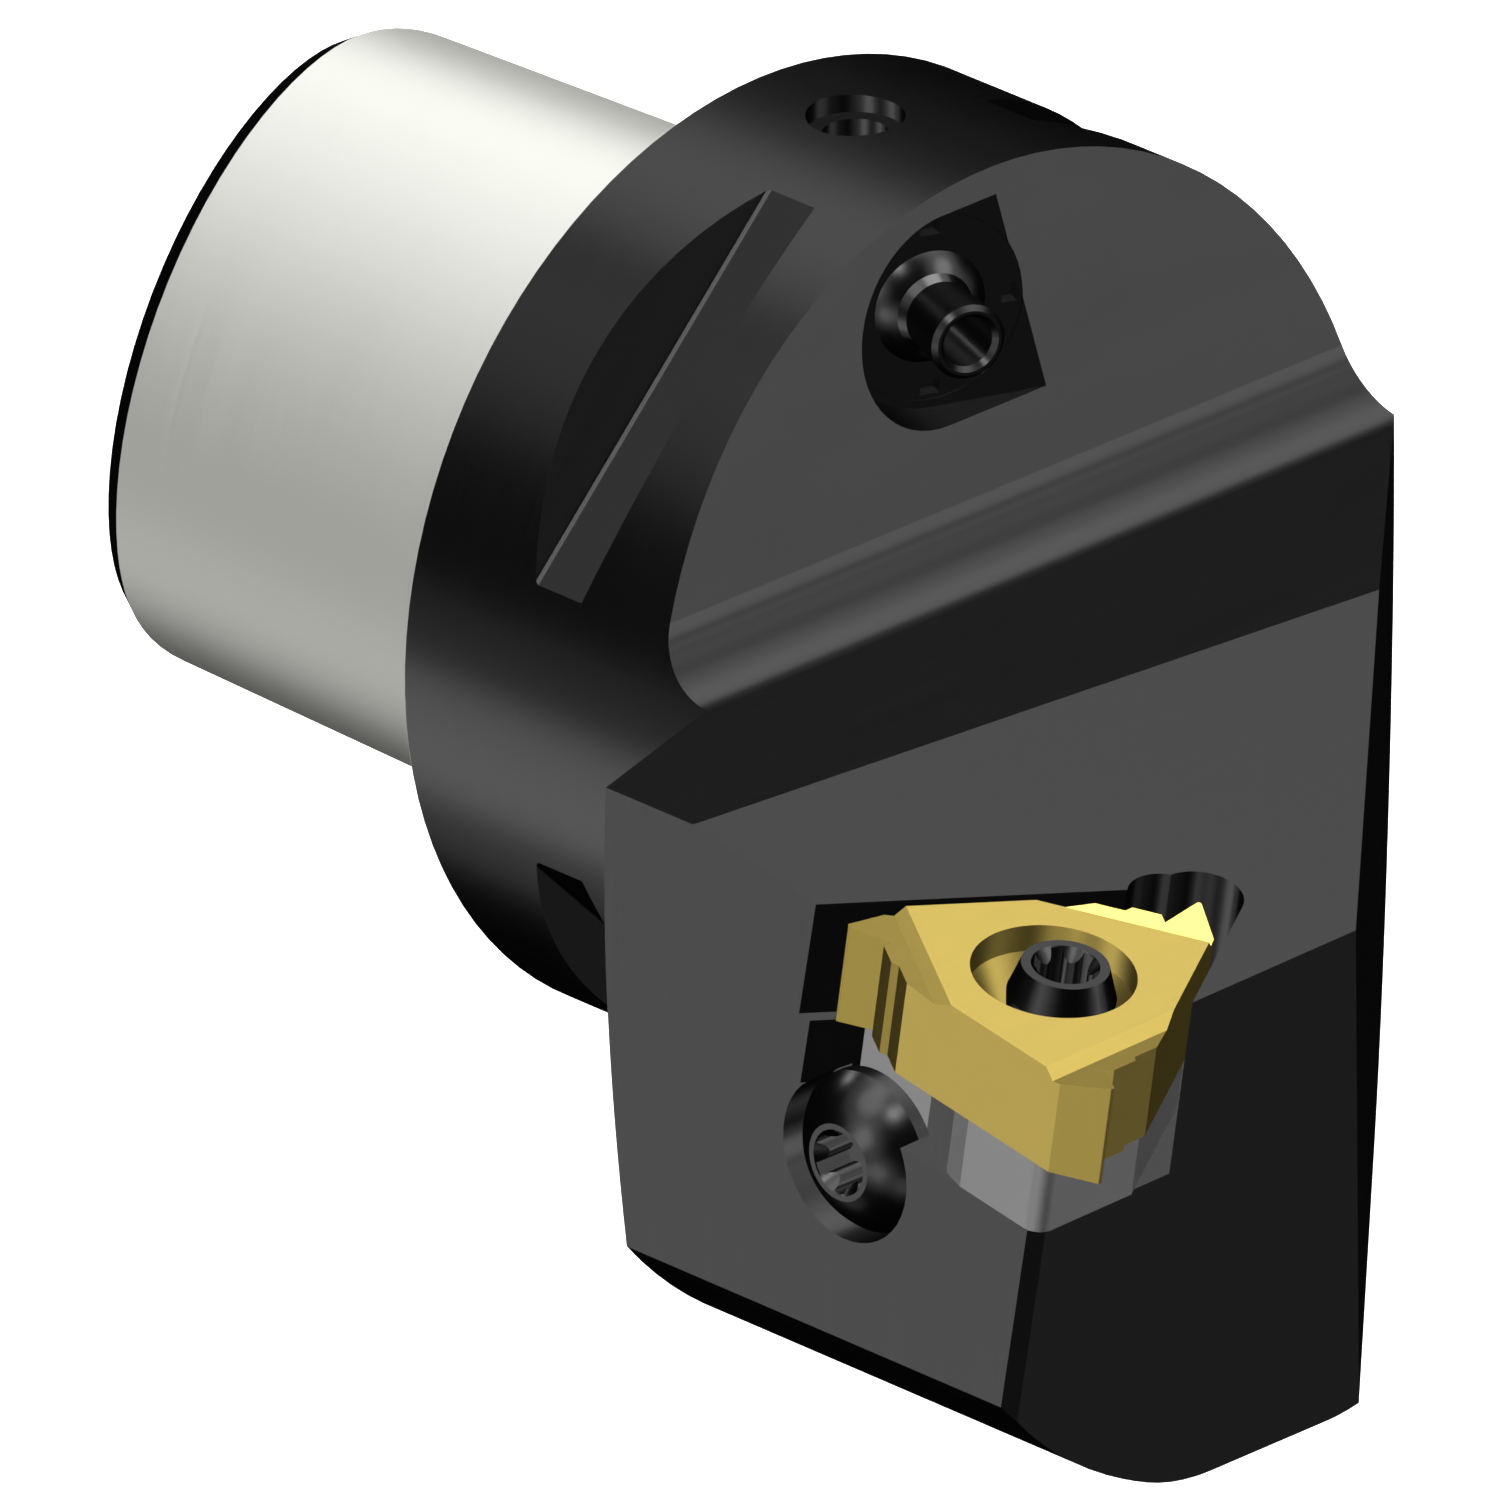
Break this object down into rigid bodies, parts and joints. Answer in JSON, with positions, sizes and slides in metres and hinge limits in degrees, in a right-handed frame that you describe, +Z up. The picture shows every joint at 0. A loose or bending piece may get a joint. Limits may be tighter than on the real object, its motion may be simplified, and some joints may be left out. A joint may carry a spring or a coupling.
{
  "type": "threading tool holder",
  "caption": "Exchangeable threading head on a three-lobed polygon taper shank, with a screwed-on indexable insert and a swivelling coolant nozzle.",
  "frame": {"origin": "centre of the flange's contact face, on the shank's axis", "axes": "+X along the shank's axis towards the cutting end, +Z up with the rake side of the insert facing it, the cutting side faces -Y"},
  "size_m": [0.0885, 0.0602, 0.0537],
  "materials": {
    "black_oxide_steel": "black oxide on the head, ground bright on the shank",
    "coated_carbide": "gold coating, satin",
    "black_screw_steel": "black oxide, slightly oiled",
    "bare_carbide": "ground, uncoated",
    "black_nozzle_steel": "black oxide, turned",
    "seal_rubber": "matt"
  },
  "bodies": {
    "head": {"head_body": "black_oxide_steel", "threading_insert": "coated_carbide", "shim": "bare_carbide", "channel_plug_screw": "black_screw_steel"},
    "insert_clamp_screw": {"insert_screw": "black_screw_steel"},
    "shim_clamp_screw": {"shim_screw": "black_screw_steel"},
    "ring_nut": {"nozzle_ring_nut": "black_nozzle_steel"},
    "seal": {"nozzle_seal_ring": "seal_rubber"},
    "nozzle": {"coolant_nozzle": "black_nozzle_steel"}
  },
  "joints": [
    {"name": "insert_screw_turn", "type": "hinge", "parent": "head", "child": "insert_clamp_screw", "pos_m": [0.04928, -0.02802, 0.00172], "axis": [0.1736, -0.0172, 0.9847], "continuous": true},
    {"name": "shim_screw_turn", "type": "hinge", "parent": "head", "child": "shim_clamp_screw", "pos_m": [0.04036, -0.03224, -0.00963], "axis": [0, -1, 0], "continuous": true},
    {"name": "ring_nut_turn", "type": "hinge", "parent": "head", "child": "ring_nut", "pos_m": [0.01463, -0.00283, 0.01803], "axis": [0.9348, -0.3551, 0], "continuous": true},
    {"name": "nozzle_swivel", "type": "hinge", "parent": "head", "child": "seal", "pos_m": [0.012, -0.00183, 0.01803], "axis": [0.9348, -0.3551, 0], "continuous": true},
    {"name": "nozzle_tilt", "type": "hinge", "parent": "seal", "child": "nozzle", "pos_m": [0.012, -0.00183, 0.01803], "axis": [0, 0, 1], "range_deg": [-15, 15]}
  ]
}
